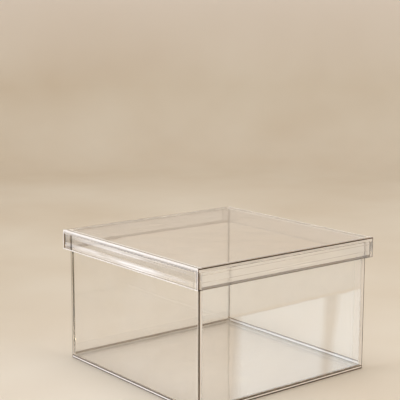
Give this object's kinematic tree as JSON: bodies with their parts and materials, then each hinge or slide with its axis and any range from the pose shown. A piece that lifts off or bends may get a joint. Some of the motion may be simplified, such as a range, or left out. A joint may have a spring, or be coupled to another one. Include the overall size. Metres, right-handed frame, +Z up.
{
  "type": "clear storage box",
  "caption": "Square clear acrylic storage box of cemented sheets, with a shoe-box style lid that lifts straight off and overhangs the walls.",
  "frame": {"origin": "centre of the box's underside, on the surface it stands on", "axes": "+Z up, square to the floor panel; +X to the right of the front wall and +Y from the front wall to the back wall"},
  "size_m": [0.315, 0.315, 0.1923],
  "materials": {
    "clear_acrylic": "polished"
  },
  "bodies": {
    "box": {"floor_panel": "clear_acrylic", "front_wall": "clear_acrylic", "back_wall": "clear_acrylic", "left_wall": "clear_acrylic", "right_wall": "clear_acrylic"},
    "lid": {"lid_top": "clear_acrylic", "lid_front_rim": "clear_acrylic", "lid_back_rim": "clear_acrylic", "lid_left_rim": "clear_acrylic", "lid_right_rim": "clear_acrylic"}
  },
  "joints": [
    {"name": "lid_lift", "type": "slide", "parent": "box", "child": "lid", "axis": [0, 0, 1], "range_m": [0, 0.25]}
  ]
}
